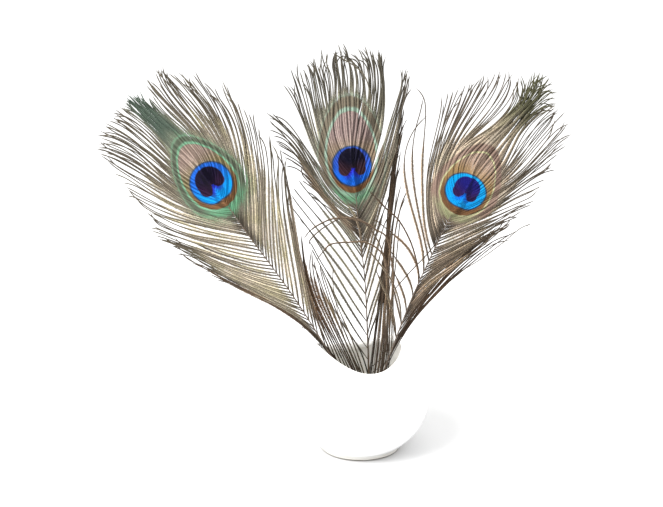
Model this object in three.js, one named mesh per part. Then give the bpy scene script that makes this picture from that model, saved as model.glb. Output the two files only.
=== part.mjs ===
// Three peacock eye feathers standing in a round white vase with a wavy lip.
// Millimetres, +Z up. The origin is the centre of the vase's foot, and the feathers face -Y.
import * as THREE from 'three';

// ---------------------------------------------------------------- driving dimensions

const VASE = {
  footRadius: 25, // the low ring that the vase stands on
  footHeight: 2.5,
  footChamfer: 0.6,
  widestHeight: 35, // where the round body is widest
  bodyRadius: 43,
  bodyHalfHeight: 40, // the body outside is an ellipse in section
  cavityRadius: 38,
  cavityHalfHeight: 33.7,
  floorHeight: 5, // top of the vase's floor
  lipRadius: 28, // to the middle of the rounded lip
  lipHeight: 61.6,
  lipThickness: 5.6,
  waveHeight: 5.5, // the lip rises this far on two sides and dips as far between them
  waveTurn: THREE.MathUtils.degToRad(18), // direction of one rise, turned from +X towards +Y
  waveStart: 38, // the wave fades in above this height
  sides: 48,
};

const SHAFT = {
  footRadius: 1.25, // at the cut end, on the floor of the vase
  tipRadius: 0.4, // inside the eye
  sides: 8,
  steps: 36,
};

const BLADE = {
  thickness: 1,
  gap: 0.35, // clear of the shaft, and half the gap between the two blades above it
  start: 0.14, // share of the feather's line where the barbs begin, inside the vase
  columns: 4,
  rows: 30,
};

// Each feather lies in a sheet, y = depth + fan * x + lean * z, which bows back above the lip, and whose two
// sides fall back from the shaft. Its line runs up the shaft and on through the eye to the top of the feather,
// as [x, z], and the shaft ends at the point that shaftPoints counts to. Each edge is the reach of the barb
// tips on one side, from inside the vase to the top.
const SHEET = {
  bowStart: 60,
  bow: 0.00022, // mm back for each square mm of height above bowStart
  cup: 0.07, // mm back for each mm out from the shaft
};

const FEATHERS = [
  {
    name: 'left_feather',
    plane: { depth: -1.6, fan: -0.1, lean: 0.03 },
    line: [
      [13, 6.2], [-3, 34], [-18, 59], [-42, 98], [-68, 134], [-82, 154], [-97, 173], [-109, 189], [-127, 207],
      [-142, 219],
    ],
    shaftPoints: 7,
    leftEdge: [
      [-2.5, 29], [-20.5, 60], [-26, 69.5], [-44, 84], [-79, 103], [-119, 123], [-134, 145], [-146, 164],
      [-161, 179], [-161, 193], [-149, 213], [-142, 219],
    ],
    rightEdge: [
      [2, 30], [-14, 61], [-19, 89], [-24, 111], [-28, 123], [-42, 157], [-45, 174], [-56, 197], [-72, 214],
      [-86, 228], [-115, 233], [-142, 219],
    ],
  },
  {
    name: 'middle_feather',
    plane: { depth: 8, fan: 0, lean: 0.18 },
    line: [[7.6, 6], [6, 32], [5, 61], [3, 101], [-1, 134], [-3, 156], [-6, 179], [-7, 205], [-8, 243]],
    shaftPoints: 7,
    leftEdge: [
      [4, 37], [-5, 52], [-16, 70], [-27, 95], [-38, 119], [-47, 150], [-61, 200], [-46, 220], [-35, 235],
      [-25, 239], [-8, 243],
    ],
    rightEdge: [
      [8, 37], [11, 49], [12.5, 60], [14.5, 68], [20, 78], [24, 96], [25, 120], [26, 168], [31, 198], [31, 221],
      [17, 224], [11, 237], [-8, 243],
    ],
  },
  {
    name: 'right_feather',
    plane: { depth: -7.6, fan: 0.1, lean: 0.03 },
    line: [
      [0, 6], [9, 34], [18, 62], [32, 100], [48, 136], [55, 150], [66, 170], [75, 184], [90, 211], [103, 234],
    ],
    shaftPoints: 7,
    leftEdge: [
      [5.5, 32], [14.5, 60], [11, 85], [6, 110], [3, 135], [3, 157], [15, 176], [29, 200], [38, 223], [57, 226],
      [78, 235], [103, 234],
    ],
    rightEdge: [
      [10.5, 31], [21.5, 58], [26.5, 70], [37, 87], [56, 109], [89, 134], [102, 144], [121, 175], [128, 197],
      [120, 217], [103, 234],
    ],
  },
];

const CERAMIC = { color: 0xf4f3f0, roughness: 0.25, metalness: 0 };
const QUILL = { color: 0x4a3d31, roughness: 0.5, metalness: 0 };
const BARBS = { color: 0x6b6048, roughness: 0.6, metalness: 0.1 };

// ---------------------------------------------------------------- vase

/** Points on an ellipse about the vase's widest height, as (radius, height), between two angles. */
function bodyArc(radius, halfHeight, from, to, steps) {
  const points = [];
  for (let i = 0; i <= steps; i += 1) {
    const angle = THREE.MathUtils.lerp(from, to, i / steps);
    const height = VASE.widestHeight + halfHeight * Math.sin(angle);
    points.push(new THREE.Vector2(radius * Math.cos(angle), height));
  }
  return points;
}

/** The rounded lip, from the angle where the body meets it, over the top, to where the cavity begins. */
function lipArc(from, to, steps) {
  const points = [];
  for (let i = 1; i < steps; i += 1) {
    const angle = THREE.MathUtils.lerp(from, to, i / steps);
    const radius = VASE.lipRadius + (VASE.lipThickness / 2) * Math.cos(angle);
    points.push(new THREE.Vector2(radius, VASE.lipHeight + (VASE.lipThickness / 2) * Math.sin(angle)));
  }
  return points;
}

/** Angle on an ellipse arc at which it comes to a height. */
function angleAtHeight(height, halfHeight) {
  return Math.asin((height - VASE.widestHeight) / halfHeight);
}

/** Raises and dips the lip in two waves round the mouth, fading out down the body. */
function waveTheLip(geometry) {
  const position = geometry.attributes.position;
  for (let i = 0; i < position.count; i += 1) {
    const turn = Math.atan2(position.getY(i), position.getX(i)) - VASE.waveTurn;
    const share = THREE.MathUtils.smoothstep(position.getZ(i), VASE.waveStart, VASE.lipHeight);
    position.setZ(i, position.getZ(i) + share * VASE.waveHeight * Math.cos(2 * turn));
  }
}

function makeVase() {
  const lipOutside = THREE.MathUtils.degToRad(47);
  const lipInside = THREE.MathUtils.degToRad(228);
  const shoulder = THREE.MathUtils.degToRad(46);
  const bodyStart = angleAtHeight(VASE.footHeight, VASE.bodyHalfHeight);
  const cavityEnd = angleAtHeight(VASE.floorHeight, VASE.cavityHalfHeight);
  const profile = [
    new THREE.Vector2(0, 0),
    new THREE.Vector2(VASE.footRadius - VASE.footChamfer, 0),
    new THREE.Vector2(VASE.footRadius, VASE.footChamfer),
    ...bodyArc(VASE.bodyRadius, VASE.bodyHalfHeight, bodyStart, shoulder, 14),
    ...lipArc(lipOutside, lipInside, 7),
    ...bodyArc(VASE.cavityRadius, VASE.cavityHalfHeight, shoulder, cavityEnd, 11),
    new THREE.Vector2(0, VASE.floorHeight),
  ];
  const geometry = new THREE.LatheGeometry(profile, VASE.sides);
  geometry.rotateX(Math.PI / 2);
  waveTheLip(geometry);
  const vase = new THREE.Mesh(geometry, new THREE.MeshStandardMaterial(CERAMIC));
  vase.name = 'vase';
  return vase;
}

// ---------------------------------------------------------------- feathers

/** A smooth curve through [x, z] points, on the feather's own sheet along the shaft. */
function curveOnSheet(points, plane) {
  const inSpace = points.map(([x, z]) => {
    const above = Math.max(z - SHEET.bowStart, 0);
    return new THREE.Vector3(x, plane.depth + plane.fan * x + plane.lean * z + SHEET.bow * above * above, z);
  });
  return new THREE.CatmullRomCurve3(inSpace, false, 'centripetal');
}

/** Unit vector across the feather, to its right, at a share of its line. */
function acrossAt(line, share, normal) {
  return new THREE.Vector3().crossVectors(line.getTangent(share), normal).normalize();
}

/** Radius of the shaft at a share of the feather's line, which stays at the tip's radius above the shaft. */
function shaftRadius(share, shaftShare) {
  return THREE.MathUtils.lerp(SHAFT.footRadius, SHAFT.tipRadius, Math.min(share / shaftShare, 1));
}

/** The shaft: a cylinder bent along the line and tapered to its tip. */
function makeShaft(feather, line, normal, shaftShare) {
  const geometry = new THREE.CylinderGeometry(1, 1, 1, SHAFT.sides, SHAFT.steps);
  const position = geometry.attributes.position;
  for (let i = 0; i < position.count; i += 1) {
    const share = (position.getY(i) + 0.5) * shaftShare;
    const radius = shaftRadius(share, shaftShare);
    const point = line.getPoint(share);
    point.addScaledVector(acrossAt(line, share, normal), radius * position.getX(i));
    point.addScaledVector(normal, radius * position.getZ(i));
    position.setXYZ(i, point.x, point.y, point.z);
  }
  const shaft = new THREE.Mesh(geometry, new THREE.MeshStandardMaterial(QUILL));
  shaft.name = `${feather.name}_shaft`;
  return shaft;
}

/** The barbs on one side: a thin blade between the shaft and the reach of the tips. side is -1 or 1. */
function makeBarbs(feather, line, normal, shaftShare, side) {
  const edge = curveOnSheet(side < 0 ? feather.leftEdge : feather.rightEdge, feather.plane);
  const geometry = new THREE.BoxGeometry(1, 1, 1, BLADE.columns, 1, BLADE.rows);
  const position = geometry.attributes.position;
  for (let i = 0; i < position.count; i += 1) {
    const out = position.getX(i) + 0.5;
    const up = position.getZ(i) + 0.5;
    const share = THREE.MathUtils.lerp(BLADE.start, 1, up);
    const clear = BLADE.gap + (share < shaftShare ? shaftRadius(share, shaftShare) : 0);
    const inner = line.getPoint(share).addScaledVector(acrossAt(line, share, normal), side * clear);
    const point = inner.clone().lerp(edge.getPoint(up), out);
    const back = SHEET.cup * point.distanceTo(inner) + side * BLADE.thickness * position.getY(i);
    point.addScaledVector(normal, -back);
    position.setXYZ(i, point.x, point.y, point.z);
  }
  const barbs = new THREE.Mesh(geometry, new THREE.MeshStandardMaterial(BARBS));
  barbs.name = `${feather.name}_${side < 0 ? 'left' : 'right'}_barbs`;
  return barbs;
}

function makeFeather(feather) {
  const group = new THREE.Group();
  const { fan, lean } = feather.plane;
  const normal = new THREE.Vector3(fan, -1, lean).normalize();
  const line = curveOnSheet(feather.line, feather.plane);
  const shaftShare = (feather.shaftPoints - 1) / (feather.line.length - 1);
  group.add(makeShaft(feather, line, normal, shaftShare));
  group.add(makeBarbs(feather, line, normal, shaftShare, -1));
  group.add(makeBarbs(feather, line, normal, shaftShare, 1));
  return group;
}

// ---------------------------------------------------------------- the whole object

const group = new THREE.Group();
group.add(makeVase());
for (const feather of FEATHERS) {
  group.add(makeFeather(feather));
}

export default group;
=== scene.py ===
"""Three peacock eye feathers in a round white vase: meshes, finishes, light and camera.

Lengths are millimetres until a mesh is made, and metres in Blender. +Z is up and the feathers face -Y.
"""

import logging
import math
from dataclasses import dataclass, field
from enum import Enum
from typing import Any, Iterable, Sequence

import bmesh
import bpy
import numpy as np
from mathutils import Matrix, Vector


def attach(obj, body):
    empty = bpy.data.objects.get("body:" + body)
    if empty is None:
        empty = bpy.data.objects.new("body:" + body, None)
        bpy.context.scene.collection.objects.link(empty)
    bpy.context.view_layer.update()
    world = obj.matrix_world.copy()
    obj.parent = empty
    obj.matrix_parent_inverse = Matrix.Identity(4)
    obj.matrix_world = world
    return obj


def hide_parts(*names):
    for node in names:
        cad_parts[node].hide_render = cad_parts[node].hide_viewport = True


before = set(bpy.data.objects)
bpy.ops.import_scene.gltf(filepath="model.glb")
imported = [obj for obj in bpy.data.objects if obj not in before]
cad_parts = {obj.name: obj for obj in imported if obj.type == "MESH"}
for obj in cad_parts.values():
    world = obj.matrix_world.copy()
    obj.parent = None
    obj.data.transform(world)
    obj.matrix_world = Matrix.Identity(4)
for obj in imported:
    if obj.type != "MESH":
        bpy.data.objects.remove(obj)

log = logging.getLogger("feathers")

MM = 0.001
BODY = "root"

# A Mix node has sockets for each kind of data. These are its inputs and its output for colours.
MIX_FIRST, MIX_SECOND, MIX_RESULT = 6, 7, 2

# Each ribbon is a strip of the bake's map. These are the places of its three edges across the strip, for its
# front and its back, and the margin at both ends.
STRIP_FRONT = (0.30, 0.60, 0.90)
STRIP_BACK = (0.05, 0.12, 0.20)
STRIP_MARGIN = 0.005

Point = tuple[float, float]
Colour = tuple[float, float, float, float]


def srgb(red: int, green: int, blue: int) -> Colour:
    """Turns a screen colour into a linear one.

    Args:
        red, green, blue: the colour as shown, 0 to 255.

    Returns:
        Linear red, green, blue and an alpha of 1.
    """
    linear = [((c / 255 + 0.055) / 1.055) ** 2.4 if c > 10 else c / 255 / 12.92 for c in (red, green, blue)]
    return (linear[0], linear[1], linear[2], 1.0)


# ------------------------------------------------------------------------------------------ shader maths


class Value:
    """A number that varies over a surface. Operators on values add Math nodes."""

    def __init__(self, graph: "Graph", socket: bpy.types.NodeSocket) -> None:
        """Wraps an output socket of a graph's node."""
        self.graph = graph
        self.socket = socket

    def _with(self, operation: str, *others: Any) -> "Value":
        """The result of a Math node on this value and others."""
        return self.graph.math(operation, self, *others)

    def __add__(self, other: Any) -> "Value":
        """Sum."""
        return self._with("ADD", other)

    __radd__ = __add__

    def __sub__(self, other: Any) -> "Value":
        """Difference."""
        return self._with("SUBTRACT", other)

    def __rsub__(self, other: Any) -> "Value":
        """Difference, from a number."""
        return self.graph.math("SUBTRACT", other, self)

    def __mul__(self, other: Any) -> "Value":
        """Product."""
        return self._with("MULTIPLY", other)

    __rmul__ = __mul__

    def __truediv__(self, other: Any) -> "Value":
        """Quotient."""
        return self._with("DIVIDE", other)

    def __rtruediv__(self, other: Any) -> "Value":
        """Quotient of a number by this."""
        return self.graph.math("DIVIDE", other, self)

    def __pow__(self, other: Any) -> "Value":
        """Power."""
        return self._with("POWER", other)

    def __abs__(self) -> "Value":
        """Absolute value."""
        return self._with("ABSOLUTE")

    def sqrt(self) -> "Value":
        """Square root."""
        return self._with("SQRT")

    def least(self, other: Any) -> "Value":
        """The lesser of two."""
        return self._with("MINIMUM", other)

    def most(self, other: Any) -> "Value":
        """The greater of two."""
        return self._with("MAXIMUM", other)

    def rises(self, low: float, high: float) -> "Value":
        """A smooth step.

        Args:
            low: where it is still 0.
            high: where it has reached 1; below low for a step that falls.

        Returns:
            A value from 0 to 1.
        """
        if low > high:
            return 1.0 - self.rises(high, low)
        node = self.graph.node(
            "ShaderNodeMapRange",
            {"interpolation_type": "SMOOTHSTEP", "clamp": True},
            {"Value": self, "From Min": low, "From Max": high, "To Min": 0.0, "To Max": 1.0},
        )
        return Value(self.graph, node.outputs["Result"])

    def band(self, low: float, high: float, soft: float) -> "Value":
        """1 between two limits, with soft edges."""
        return self.rises(low - soft, low + soft) * self.rises(high + soft, high - soft)


class Graph:
    """The node tree of one material, built by code."""

    def __init__(self, name: str) -> None:
        """Makes an empty material with its shader and output."""
        self.material = bpy.data.materials.new(name)
        self.material.use_nodes = True
        self.tree = self.material.node_tree
        self.tree.nodes.clear()
        self.shader = self.tree.nodes.new("ShaderNodeBsdfPrincipled")
        out = self.tree.nodes.new("ShaderNodeOutputMaterial")
        self.tree.links.new(self.shader.outputs["BSDF"], out.inputs["Surface"])

    def node(self, kind: str, settings: dict[str, Any], values: dict[Any, Any]) -> bpy.types.Node:
        """Adds a node.

        Args:
            kind: Blender's name of the node's type.
            settings: properties of the node, set first.
            values: numbers, colours, Values or sockets for its inputs, by name or index.

        Returns:
            The node.
        """
        made = self.tree.nodes.new(kind)
        for name, setting in settings.items():
            setattr(made, name, setting)
        for key, value in values.items():
            self.put(made.inputs[key], value)
        return made

    def put(self, socket: bpy.types.NodeSocket, value: Any) -> None:
        """Gives an input a link or a plain value."""
        if isinstance(value, Value):
            value = value.socket
        if isinstance(value, bpy.types.NodeSocket):
            self.tree.links.new(value, socket)
        else:
            socket.default_value = value

    def math(self, operation: str, *terms: Any) -> Value:
        """A Math node on values or numbers."""
        made = self.node("ShaderNodeMath", {"operation": operation}, dict(enumerate(terms)))
        return Value(self, made.outputs[0])

    def mix(self, share: Any, first: Any, second: Any) -> bpy.types.NodeSocket:
        """A colour between two.

        Args:
            share: 0 for the first colour, 1 for the second.
            first, second: colours or colour sockets.

        Returns:
            The mixed colour's socket.
        """
        settings = {"data_type": "RGBA", "clamp_factor": True}
        made = self.node("ShaderNodeMix", settings, {0: share, MIX_FIRST: first, MIX_SECOND: second})
        return made.outputs[MIX_RESULT]

    def tint(self, colour: Any, strength: Value) -> bpy.types.NodeSocket:
        """A colour times a number."""
        scaled = self.node("ShaderNodeVectorMath", {"operation": "SCALE"}, {0: colour, "Scale": strength})
        return scaled.outputs["Vector"]

    def attribute(self, name: str) -> Value:
        """A number that the mesh carries."""
        made = self.node("ShaderNodeAttribute", {"attribute_name": name}, {})
        return Value(self, made.outputs["Fac"])

    def place(self, uv_map: str) -> tuple[Value, Value, bpy.types.NodeSocket]:
        """The two coordinates of a UV map, and both as one vector."""
        source = self.node("ShaderNodeUVMap", {"uv_map": uv_map}, {}).outputs["UV"]
        split = self.node("ShaderNodeSeparateXYZ", {}, {0: source})
        return Value(self, split.outputs[0]), Value(self, split.outputs[1]), source

    def object_place(self) -> tuple[Value, Value, Value, bpy.types.NodeSocket]:
        """Object coordinates, one by one, and as one vector."""
        source = self.node("ShaderNodeTexCoord", {}, {}).outputs["Object"]
        split = self.node("ShaderNodeSeparateXYZ", {}, {0: source})
        x, y, z = (Value(self, split.outputs[i]) for i in range(3))
        return x, y, z, source

    def noise(self, at: bpy.types.NodeSocket, scale: float, detail: float = 2.0, rough: float = 0.5) -> Value:
        """Smooth noise, about 0.5 on average."""
        values = {"Vector": at, "Scale": scale, "Detail": detail, "Roughness": rough}
        return Value(self, self.node("ShaderNodeTexNoise", {}, values).outputs["Fac"])

    def bump(self, height: Value, strength: float, distance: float) -> bpy.types.NodeSocket:
        """A normal bent by a height, in metres."""
        values = {"Height": height, "Strength": strength, "Distance": distance}
        return self.node("ShaderNodeBump", {}, values).outputs["Normal"]

    def finish(self, **sockets: Any) -> bpy.types.Material:
        """Sets the shader's sockets and gives the material.

        Args:
            sockets: the shader's inputs, with _ for a space.

        Returns:
            The material.
        """
        for name, value in sockets.items():
            self.put(self.shader.inputs[name.replace("_", " ")], value)
        return self.material


# ---------------------------------------------------------------------------------------------- finishes


@dataclass(frozen=True)
class EyeShape:
    """Outlines of the eye in flat millimetres: p across the feather and q along it, from the disc's centre.

    Attributes:
        low, high: ends of the bronze oval along the feather.
        half_width: half the oval's width.
        egg: how much narrower the oval is at its high end, as a share.
        disc: radius of the blue disc across the feather.
        disc_above, disc_below: the disc's reach along the feather, as shares of its radius.
        dent: how deep the disc is dented where the shaft comes in.
        heart: radius of the dark heart's round top.
        heart_above: the top's reach along the feather, as a share of its radius.
        heart_rise: height of the top's centre.
        notch: height of the notch's point, below which the heart is its two lobes only.
        notch_aside: how far right of the middle the notch is.
        left_lobe, right_lobe: the two lobes, each as its centre and its radius.
        frays: how far outside the oval the barbs hang quite free, below the disc.
        frays_more: how much further that is above the disc.
    """

    low: float = -17.0
    high: float = 27.8
    half_width: float = 15.4
    egg: float = 0.22
    disc: float = 13.1
    disc_above: float = 0.97
    disc_below: float = 1.0
    dent: float = 1.5
    heart: float = 9.1
    heart_above: float = 1.0
    heart_rise: float = 1.4
    notch: float = -1.2
    notch_aside: float = 0.4
    left_lobe: tuple[float, float, float] = (-4.8, -1.9, 4.5)
    right_lobe: tuple[float, float, float] = (4.9, -0.9, 3.9)
    frays: float = 4.5
    frays_more: float = 5.5

    def outside(self, flat: np.ndarray) -> np.ndarray:
        """How far flat places are outside the bronze oval, in mm, and negative inside it."""
        up = (flat[:, 1] - (self.low + self.high) / 2) / ((self.high - self.low) / 2)
        width = self.half_width * (1.0 - np.clip(up, -1.5, 1.5) * self.egg)
        return (np.hypot(flat[:, 0] / width, up) - 1.0) * self.half_width


@dataclass(frozen=True)
class EyeFinish:
    """The barbs of one feather: loose brown barbs, and the eye's rings drawn in flat millimetres.

    Attributes:
        name: the material's name.
        shape: outlines of the eye.
        heart, heart_edge, notch_blue: the dark heart, its warmer lobes, and the blue in its notch.
        disc_high, disc_low, disc_line: the blue disc above and below, and the dark line round it.
        bronze_high, bronze_mid, bronze_low, bronze_line: the oval from its top down, and its pale shafts.
        ring, ring_width: the light ring round the oval, and its width in mm.
        band, band_width: the dark band outside it, and its width in mm.
        outer_ring: strength of a second light ring outside the band, 0 to 1.
        halo, halo_reach, halo_amount: the green round the eye, its reach in mm and its strength.
        wedge, wedge_amount: the green wedge below the eye, and its strength.
        core: the dark shafts of the loose barbs.
        tan, olive, grey, bundle: their barbules, and those of the brown bundles.
        tuft, tuft_start: the dark green top, and the share of a barb from which it begins.
        under: the back of the feather.
        shade_top, shade_foot: heights in mm between which the barbs darken towards the vase.
        relief: depth of the barbs' fine relief, in mm.
    """

    name: str
    shape: EyeShape = EyeShape()
    heart: Colour = srgb(12, 4, 30)
    heart_edge: Colour = srgb(36, 14, 42)
    notch_blue: Colour = srgb(36, 30, 176)
    disc_high: Colour = srgb(26, 88, 184)
    disc_low: Colour = srgb(0, 126, 198)
    disc_line: Colour = srgb(10, 52, 80)
    bronze_high: Colour = srgb(128, 110, 100)
    bronze_mid: Colour = srgb(108, 98, 68)
    bronze_low: Colour = srgb(100, 70, 44)
    bronze_line: Colour = srgb(192, 176, 164)
    ring: Colour = srgb(104, 150, 120)
    ring_width: float = 1.1
    band: Colour = srgb(72, 80, 66)
    band_width: float = 2.6
    outer_ring: float = 0.4
    halo: Colour = srgb(78, 116, 88)
    halo_reach: float = 6.0
    halo_amount: float = 0.7
    wedge: Colour = srgb(74, 132, 98)
    wedge_amount: float = 0.8
    core: Colour = srgb(42, 35, 28)
    tan: Colour = srgb(220, 206, 180)
    olive: Colour = srgb(196, 186, 150)
    grey: Colour = srgb(180, 168, 150)
    bundle: Colour = srgb(132, 98, 68)
    tuft: Colour = srgb(90, 112, 98)
    tuft_start: float = 0.2
    under: Colour = srgb(128, 116, 98)
    shade_top: float = 98.0
    shade_foot: float = 62.0
    relief: float = 0.1

    def loose_colour(self, g: Graph, at: bpy.types.NodeSocket) -> bpy.types.NodeSocket:
        """Colour of the free barbs: a dark core, speckled barbules, and a thin dark tip."""
        along, across, tone = g.attribute("along"), g.attribute("across"), g.attribute("tone")
        brown, green = g.attribute("brown"), g.attribute("green")
        _, _, height, _ = g.object_place()
        patch = g.noise(at, 0.07, 2.0)
        speckle = g.noise(at, 1.9, 2.0, 0.8)
        colour = g.mix(patch.rises(0.38, 0.6), self.tan, self.olive)
        colour = g.mix(tone.rises(0.25, 0.75) * 0.8, colour, self.grey)
        colour = g.mix(brown, colour, self.bundle)
        colour = g.mix(green * along.rises(self.tuft_start, self.tuft_start + 0.4), colour, self.tuft)
        colour = g.mix(speckle.rises(0.52, 0.38) * 0.6, colour, self.core)
        colour = g.mix(height.rises(self.shade_top * MM, self.shade_foot * MM) * 0.55, colour, self.core)
        colour = g.mix(across.rises(0.5, 0.25) * (0.85 - green * 0.3), colour, self.core)
        colour = g.mix(along.rises(0.6, 0.9) * (1.0 - green) * 0.25, colour, self.core)
        colour = g.mix(along.rises(0.12, 0.02) * 0.6, colour, self.core)
        return g.tint(colour, 1.25 - tone * 0.5)

    def oval(self, p: Value, q: Value) -> Value:
        """How far outside the bronze oval a place is, in mm."""
        shape = self.shape
        up = (q - (shape.low + shape.high) / 2) / ((shape.high - shape.low) / 2)
        width = (1.0 - up.least(1.5).most(-1.5) * shape.egg) * shape.half_width
        return (((p / width) ** 2.0 + up * up).sqrt() - 1.0) * shape.half_width

    def surround(self, g: Graph, loose: Any, out: Value, q: Value, streak: Value) -> bpy.types.NodeSocket:
        """The green halo over the loose barbs, the dark band, the green wedge below and the light ring."""
        shape = self.shape
        halo = g.mix(streak.rises(0.42, 0.56), self.halo, self.band)
        reach = self.halo_reach
        colour = g.mix(out.rises(reach * 1.6, reach * 0.2) * self.halo_amount, loose, halo)
        low = q.rises(shape.low + 7.0, shape.low - 1.0)
        edge = self.ring_width + self.band_width
        outer = out.band(edge, edge + 1.0, 0.6) * (1.0 - low) * self.outer_ring
        colour = g.mix(outer, colour, self.ring)
        dark = out.band(self.ring_width, edge, 0.6) * (1.0 - low)
        colour = g.mix(dark * (1.2 - streak * 0.8), colour, self.band)
        wedge = out.rises(4.8, 2.0) * low * self.wedge_amount * (1.1 - streak * 0.6)
        colour = g.mix(wedge, colour, self.wedge)
        ring = out.band(0.0, self.ring_width, 0.5) * (1.0 - low * 0.5) * (1.3 - streak * 0.7)
        return g.mix(ring, colour, self.ring)

    def bronze(self, g: Graph, q: Value, streak: Value) -> bpy.types.NodeSocket:
        """The bronze oval: grey mauve at the top, olive beside the disc and brown below it."""
        colour = g.mix(q.rises(8.0, 20.0), self.bronze_mid, self.bronze_high)
        colour = g.mix(q.rises(5.0, -8.0), colour, self.bronze_low)
        line = g.attribute("across").rises(0.2, 0.04) * q.rises(4.0, 14.0)
        colour = g.mix(line * streak.rises(0.4, 0.6) * 0.5, colour, self.bronze_line)
        return g.tint(colour, 0.72 + streak * 0.56)

    def heart_distance(self, p: Value, q: Value) -> Value:
        """How far a place is outside the heart, in mm: a round top, and two lobes below the notch."""
        shape = self.shape
        rise = (q - shape.heart_rise) / shape.heart_above
        top = ((p * p + rise * rise).sqrt() - shape.heart).most(shape.notch - q)
        lobes = []
        for aside, up, radius in (shape.left_lobe, shape.right_lobe):
            lobes.append(((p - aside) ** 2.0 + (q - up) ** 2.0).sqrt() - radius)
        wedge = (shape.notch - q) * 0.6 - abs(p - shape.notch_aside) * 0.8
        return top.least(lobes[0]).least(lobes[1]).most(wedge)

    def eye_colour(
        self, g: Graph, loose: bpy.types.NodeSocket, p: Value, q: Value, at: bpy.types.NodeSocket
    ) -> tuple[bpy.types.NodeSocket, Value]:
        """Lays the eye's rings over the loose barbs' colour.

        Args:
            g: the material's graph.
            loose: colour of the free barbs.
            p, q: flat place across and along the feather, in mm.
            at: the same as a vector.

        Returns:
            The colour, and how much of it is iridescent.
        """
        shape = self.shape
        stagger = g.attribute("tone") - 0.5
        wobble = (g.noise(at, 0.22, 1.0) - 0.5) * 0.9 + stagger * 0.25
        streak = g.noise(at, 0.7, 3.0) * 0.65 + g.attribute("tone") * 0.35
        out = self.oval(p, q) + wobble
        colour = self.surround(g, loose, out, q, streak)
        colour = g.mix(out.rises(0.2, -0.3), colour, self.bronze(g, q, streak))

        above = q.most(0.0) / shape.disc_above
        below = q.least(0.0) / shape.disc_below
        dent = p.rises(6.5, 0.0) * p.rises(-6.5, 0.0) * q.rises(-3.0, -12.0) * shape.dent
        disc = (p * p + above * above + below * below).sqrt() + dent + wobble * 0.5
        colour = g.mix(disc.rises(shape.disc + 1.1, shape.disc + 0.3) * 0.85, colour, self.disc_line)
        blue = g.mix(q.rises(6.0, -8.0), self.disc_high, self.disc_low)
        blue = g.mix(disc.rises(shape.disc - 1.0, shape.disc + 0.2) * 0.4, blue, self.disc_line)
        inside = disc.rises(shape.disc + 0.2, shape.disc - 0.4)
        colour = g.mix(inside, colour, g.tint(blue, 0.84 + streak * 0.32))

        heart = self.heart_distance(p, q) + wobble * 0.4
        purple = heart.rises(3.4, 0.3) * q.rises(3.0, -2.0) * abs(p).rises(7.0, 1.5)
        colour = g.mix(purple * 0.9, colour, self.notch_blue)
        dark = g.mix((q - abs(p) * 0.4).rises(3.0, -6.0), self.heart, self.heart_edge)
        colour = g.mix(heart.rises(0.45, -0.35), colour, dark)
        grain = g.noise(at, 2.6, 1.0).rises(0.3, 0.7)
        return g.tint(colour, 0.82 + grain * 0.36), out.rises(3.0, -0.5)

    def material(self) -> bpy.types.Material:
        """The finish as a material."""
        g = Graph(self.name)
        p, q, at = g.place("Place")
        colour, iridescent = self.eye_colour(g, self.loose_colour(g, at), p, q, at)
        colour = g.mix(g.attribute("under") * 0.8, colour, self.under)
        return g.finish(
            Base_Color=g.tint(colour, g.attribute("tone") * 0.1 + 0.78),
            Roughness=0.62 - iridescent * 0.2,
            Metallic=iridescent * 0.25,
            Specular_IOR_Level=0.12,
            Normal=g.bump(g.noise(at, 3.0, 2.0), 0.4, self.relief * MM),
        )


@dataclass(frozen=True)
class QuillFinish:
    """The shaft: pale horn in the vase, dark grey-brown above it, with fine lengthways grain.

    Attributes:
        horn, brown, dark: its colours from the foot up.
        grain: how fine the grain is across the shaft, twice, and along it.
        relief: depth of the grain, in mm.
    """

    horn: Colour = srgb(206, 190, 158)
    dark: Colour = srgb(62, 52, 44)
    brown: Colour = srgb(104, 84, 62)
    grain: tuple[float, float, float] = (1400.0, 1400.0, 90.0)
    relief: float = 0.06

    def material(self) -> bpy.types.Material:
        """The finish as a material."""
        g = Graph("quill")
        *_, at = g.object_place()
        stretched = g.node("ShaderNodeMapping", {}, {"Vector": at, "Scale": self.grain}).outputs[0]
        grain = g.noise(stretched, 1.0, 3.0)
        up = g.attribute("up")
        colour = g.mix(up.rises(0.06, 0.2), self.horn, self.brown)
        colour = g.mix(up.rises(0.14, 0.3), colour, self.dark)
        colour = g.mix(grain.rises(0.35, 0.7) * 0.35, colour, self.brown)
        bump = g.bump(grain, 0.5, self.relief * MM)
        return g.finish(Base_Color=colour, Roughness=0.38 + grain * 0.2, Normal=bump)


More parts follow.
